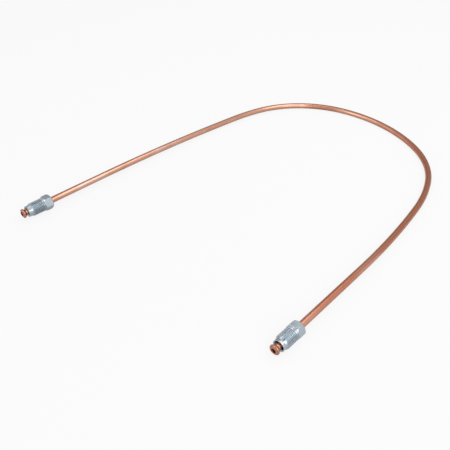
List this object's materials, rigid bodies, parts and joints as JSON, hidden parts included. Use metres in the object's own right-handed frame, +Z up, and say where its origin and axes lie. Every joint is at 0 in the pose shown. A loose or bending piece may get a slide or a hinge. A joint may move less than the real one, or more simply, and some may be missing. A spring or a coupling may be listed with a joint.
{
  "type": "brake line",
  "caption": "Copper brake line bent into an open U, with a bubble flare and a loose male flare nut at each end.",
  "frame": {"origin": "centre of the bounding box on the floor that the line lies on", "axes": "+Z up from the floor; +X along the longest extent, from the left tip's side towards the outside of the bend; both open ends face -Y"},
  "size_m": [0.3152, 0.298, 0.0101],
  "materials": {
    "copper_tube": "bright drawn copper, lightly tarnished",
    "zinc_plated_nut": "bright zinc plate, pale blue"
  },
  "bodies": {
    "tube": {"brake_tube": "copper_tube"},
    "left_nut": {"left_flare_nut": "zinc_plated_nut"},
    "right_nut": {"right_flare_nut": "zinc_plated_nut"}
  },
  "joints": [
    {"name": "left_nut_slide", "type": "slide", "parent": "tube", "child": "left_nut", "axis": [0.7083, 0.7058, -0.01], "range_m": [-0.0026, 0.045]},
    {"name": "right_nut_slide", "type": "slide", "parent": "tube", "child": "right_nut", "axis": [0.6652, 0.7466, -0.0101], "range_m": [-0.0032, 0.0686]}
  ]
}
